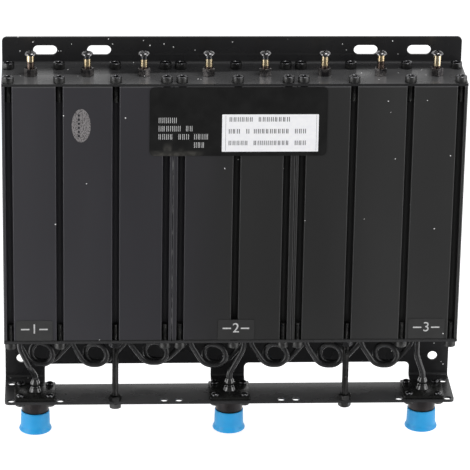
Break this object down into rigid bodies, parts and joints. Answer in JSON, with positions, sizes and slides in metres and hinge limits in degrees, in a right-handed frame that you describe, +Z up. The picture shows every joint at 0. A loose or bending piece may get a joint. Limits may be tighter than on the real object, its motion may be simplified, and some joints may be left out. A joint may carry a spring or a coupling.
{
  "type": "cavity duplexer",
  "caption": "Wall-hung band filter of round resonator cavities in three black extrusions between bent sheet brackets, with looped coax links, screw tuners and capped coaxial jacks.",
  "frame": {"origin": "wall face of the slotted flange, midway along its row of slots", "axes": "+X along the row of cavities, to the right seen from the front; +Y into the wall; +Z up"},
  "size_m": [0.28, 0.0408, 0.2493],
  "materials": {
    "bracket_paint": "satin black powder coat",
    "block_finish": "black coated extrusion",
    "screw_steel": "dark steel",
    "nut_plating": "nickel plated",
    "brass": "plain machined brass",
    "cable_jacket": "semi-gloss black jacket",
    "jack_plating": "dark plating",
    "cap_plastic": "soft blue vinyl",
    "insulator": "white",
    "sleeve_black": "dark sleeve",
    "label_black": "black film",
    "sticker_black": "black film with pale fields"
  },
  "bodies": {
    "chassis": {"top_bracket": "bracket_paint", "bottom_bracket": "bracket_paint", "cavity_block_left": "block_finish", "cavity_block_centre": "block_finish", "cavity_block_right": "block_finish", "top_screws": "screw_steel", "bottom_screws": "screw_steel", "studs": "screw_steel", "stud_nuts": "nut_plating", "lock_nuts": "nut_plating", "resonator_1": "brass", "resonator_2": "brass", "resonator_3": "brass", "resonator_4": "brass", "resonator_5": "brass", "resonator_6": "brass", "resonator_7": "brass", "resonator_8": "brass", "coupling_straps": "brass", "link_cable_1": "cable_jacket", "link_cable_2": "cable_jacket", "link_cable_3": "cable_jacket", "link_cable_4": "cable_jacket", "link_cable_5": "cable_jacket", "link_cable_6": "cable_jacket", "link_cable_7": "cable_jacket", "port_cable_1": "cable_jacket", "port_jack_1": "jack_plating", "port_cable_2": "cable_jacket", "port_jack_2": "jack_plating", "port_cable_3": "cable_jacket", "port_jack_3": "jack_plating", "jack_insulators": "insulator", "jack_contacts": "brass", "cable_sleeves": "sleeve_black", "jack_screws": "screw_steel", "jack_nuts": "nut_plating", "label_sheet": "label_black", "port_stickers": "sticker_black"},
    "tuner_1": {"tuner_screw_1": "nut_plating", "tuner_sleeve_1": "brass"},
    "tuner_2": {"tuner_screw_2": "nut_plating", "tuner_sleeve_2": "brass"},
    "tuner_3": {"tuner_screw_3": "nut_plating", "tuner_sleeve_3": "brass"},
    "tuner_4": {"tuner_screw_4": "nut_plating", "tuner_sleeve_4": "brass"},
    "tuner_5": {"tuner_screw_5": "nut_plating", "tuner_sleeve_5": "brass"},
    "tuner_6": {"tuner_screw_6": "nut_plating", "tuner_sleeve_6": "brass"},
    "tuner_7": {"tuner_screw_7": "nut_plating", "tuner_sleeve_7": "brass"},
    "tuner_8": {"tuner_screw_8": "nut_plating", "tuner_sleeve_8": "brass"},
    "cap_1": {"dust_cap_1": "cap_plastic"},
    "cap_2": {"dust_cap_2": "cap_plastic"},
    "cap_3": {"dust_cap_3": "cap_plastic"}
  },
  "joints": [
    {"name": "tuner_1_slide", "type": "slide", "parent": "chassis", "child": "tuner_1", "axis": [0, 0, 1], "range_m": [-0.008, 0.006]},
    {"name": "tuner_2_slide", "type": "slide", "parent": "chassis", "child": "tuner_2", "axis": [0, 0, 1], "range_m": [-0.008, 0.006]},
    {"name": "tuner_3_slide", "type": "slide", "parent": "chassis", "child": "tuner_3", "axis": [0, 0, 1], "range_m": [-0.008, 0.006]},
    {"name": "tuner_4_slide", "type": "slide", "parent": "chassis", "child": "tuner_4", "axis": [0, 0, 1], "range_m": [-0.008, 0.006]},
    {"name": "tuner_5_slide", "type": "slide", "parent": "chassis", "child": "tuner_5", "axis": [0, 0, 1], "range_m": [-0.008, 0.006]},
    {"name": "tuner_6_slide", "type": "slide", "parent": "chassis", "child": "tuner_6", "axis": [0, 0, 1], "range_m": [-0.008, 0.006]},
    {"name": "tuner_7_slide", "type": "slide", "parent": "chassis", "child": "tuner_7", "axis": [0, 0, 1], "range_m": [-0.008, 0.006]},
    {"name": "tuner_8_slide", "type": "slide", "parent": "chassis", "child": "tuner_8", "axis": [0, 0, 1], "range_m": [-0.008, 0.006]},
    {"name": "cap_1_slide", "type": "slide", "parent": "chassis", "child": "cap_1", "axis": [0, 0, -1], "range_m": [0, 0.03]},
    {"name": "cap_2_slide", "type": "slide", "parent": "chassis", "child": "cap_2", "axis": [0, 0, -1], "range_m": [0, 0.03]},
    {"name": "cap_3_slide", "type": "slide", "parent": "chassis", "child": "cap_3", "axis": [0, 0, -1], "range_m": [0, 0.03]}
  ]
}
